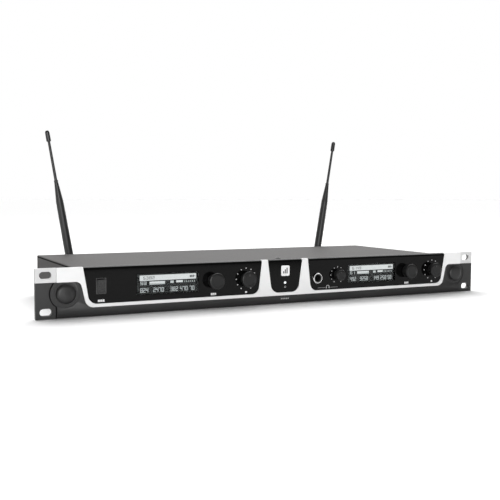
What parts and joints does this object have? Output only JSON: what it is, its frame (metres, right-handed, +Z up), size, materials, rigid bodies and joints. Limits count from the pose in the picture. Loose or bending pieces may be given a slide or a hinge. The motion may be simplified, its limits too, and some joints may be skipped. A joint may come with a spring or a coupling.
{
  "type": "wireless receiver unit",
  "caption": "Rack-width wireless audio receiver with display bays, push encoders, level knobs, a rocker switch, a headphone jack and rear swivelling antennas.",
  "frame": {"origin": "centre of the rack slot pattern on the rear face of the ears", "axes": "+X right seen from the front, +Y towards the rear, +Z up"},
  "size_m": [0.4826, 0.2141, 0.1756],
  "materials": {
    "case_steel": "satin",
    "cover_paint": "satin",
    "fascia_grey": "matte",
    "trim_white": "gloss",
    "cap_white": "satin",
    "bay_gloss": "gloss",
    "bracket_steel": "satin",
    "plug_plastic": "matte",
    "switch_plastic": "satin",
    "window_clear": "gloss",
    "display_body": "matte",
    "control_metal": "satin",
    "shaft_metal": "satin",
    "knob_plastic": "satin",
    "socket_plastic": "matte",
    "ring_chrome": "polished",
    "connector_nickel": "satin",
    "connector_black": "matte",
    "badge_white": "gloss",
    "lamp_lens": "gloss",
    "board_green": "satin",
    "can_tin": "satin",
    "ribbon_grey": "matte",
    "screw_zinc": "satin",
    "foot_rubber": "matte",
    "antenna_plastic": "satin",
    "antenna_rubber": "satin"
  },
  "bodies": {
    "unit": {"base_tray": "case_steel", "rear_panel": "case_steel", "top_cover": "cover_paint", "front_fascia": "fascia_grey", "ear_caps_lower": "fascia_grey", "trim_frame": "trim_white", "ear_caps_upper": "cap_white", "bay_panel_left": "bay_gloss", "bay_panel_centre": "bay_gloss", "bay_panel_right": "bay_gloss", "rack_ear_left": "bracket_steel", "rack_ear_right": "bracket_steel", "blanking_plugs": "plug_plastic", "power_switch_housing": "switch_plastic", "display_window_left": "window_clear", "display_window_right": "window_clear", "display_module_left": "display_body", "display_module_right": "display_body", "encoder_body_left": "control_metal", "encoder_body_right": "control_metal", "volume_left_body": "control_metal", "volume_right_body": "control_metal", "headphone_volume_body": "control_metal", "headphone_socket": "socket_plastic", "jack_outputs": "socket_plastic", "headphone_ring_nut": "ring_chrome", "antenna_sockets": "connector_nickel", "antenna_coupling_left": "connector_nickel", "antenna_coupling_right": "connector_nickel", "balanced_outputs": "connector_black", "power_inlet": "connector_black", "badge_plate": "badge_white", "status_lamp": "lamp_lens", "main_circuit_board": "board_green", "control_circuit_board": "board_green", "rf_shield_cans": "can_tin", "ribbon_cable": "ribbon_grey", "case_screws": "screw_zinc", "feet": "foot_rubber"},
    "power_rocker": {"power_switch_rocker": "switch_plastic"},
    "encoder_slider_left": {"encoder_sleeve_left": "shaft_metal"},
    "encoder_left": {"encoder_shaft_left": "shaft_metal", "encoder_knob_left": "knob_plastic"},
    "volume_left": {"volume_left_shaft": "shaft_metal", "volume_left_knob": "knob_plastic"},
    "encoder_slider_right": {"encoder_sleeve_right": "shaft_metal"},
    "encoder_right": {"encoder_shaft_right": "shaft_metal", "encoder_knob_right": "knob_plastic"},
    "volume_right": {"volume_right_shaft": "shaft_metal", "volume_right_knob": "knob_plastic"},
    "headphone_volume": {"headphone_volume_shaft": "shaft_metal", "headphone_volume_knob": "knob_plastic"},
    "antenna_swivel_left": {"antenna_elbow_left": "antenna_plastic"},
    "antenna_rod_left": {"antenna_sleeve_left": "antenna_rubber", "antenna_whip_left": "antenna_rubber", "antenna_tip_left": "antenna_plastic"},
    "antenna_swivel_right": {"antenna_elbow_right": "antenna_plastic"},
    "antenna_rod_right": {"antenna_sleeve_right": "antenna_rubber", "antenna_whip_right": "antenna_rubber", "antenna_tip_right": "antenna_plastic"}
  },
  "joints": [
    {"name": "power_rocker_tilt", "type": "hinge", "parent": "unit", "child": "power_rocker", "pos_m": [-0.1848, -0.0026, 0.0048], "axis": [-1, 0, 0], "range_deg": [0, 10]},
    {"name": "encoder_left_push", "type": "slide", "parent": "unit", "child": "encoder_slider_left", "axis": [0, 1, 0], "range_m": [0, 0.0005], "stiffness_N_per_m": 1500, "springref_m": -0.0012},
    {"name": "encoder_left_turn", "type": "hinge", "parent": "encoder_slider_left", "child": "encoder_left", "pos_m": [-0.077, 0, 0.0045], "axis": [0, 1, 0], "continuous": true},
    {"name": "volume_left_turn", "type": "hinge", "parent": "unit", "child": "volume_left", "pos_m": [-0.043, 0, 0.0045], "axis": [0, 1, 0], "range_deg": [-150, 150]},
    {"name": "encoder_right_push", "type": "slide", "parent": "unit", "child": "encoder_slider_right", "axis": [0, 1, 0], "range_m": [0, 0.0005], "stiffness_N_per_m": 1500, "springref_m": -0.0012},
    {"name": "encoder_right_turn", "type": "hinge", "parent": "encoder_slider_right", "child": "encoder_right", "pos_m": [0.1491, 0, 0.0045], "axis": [0, 1, 0], "continuous": true},
    {"name": "volume_right_turn", "type": "hinge", "parent": "unit", "child": "volume_right", "pos_m": [0.1831, 0, 0.0045], "axis": [0, 1, 0], "range_deg": [-150, 150]},
    {"name": "headphone_volume_turn", "type": "hinge", "parent": "unit", "child": "headphone_volume", "pos_m": [0.0612, 0, 0.004], "axis": [0, 1, 0], "range_deg": [-150, 150]},
    {"name": "antenna_left_swivel", "type": "hinge", "parent": "unit", "child": "antenna_swivel_left", "pos_m": [-0.1595, 0.194, 0], "axis": [0, 1, 0], "continuous": true},
    {"name": "antenna_left_fold", "type": "hinge", "parent": "antenna_swivel_left", "child": "antenna_rod_left", "pos_m": [-0.1595, 0.194, 0], "axis": [-0.9863, 0, -0.165], "range_deg": [0, 90]},
    {"name": "antenna_right_swivel", "type": "hinge", "parent": "unit", "child": "antenna_swivel_right", "pos_m": [0.1595, 0.194, 0], "axis": [0, 1, 0], "continuous": true},
    {"name": "antenna_right_fold", "type": "hinge", "parent": "antenna_swivel_right", "child": "antenna_rod_right", "pos_m": [0.1595, 0.194, 0], "axis": [-0.9863, 0, 0.165], "range_deg": [0, 90]}
  ]
}
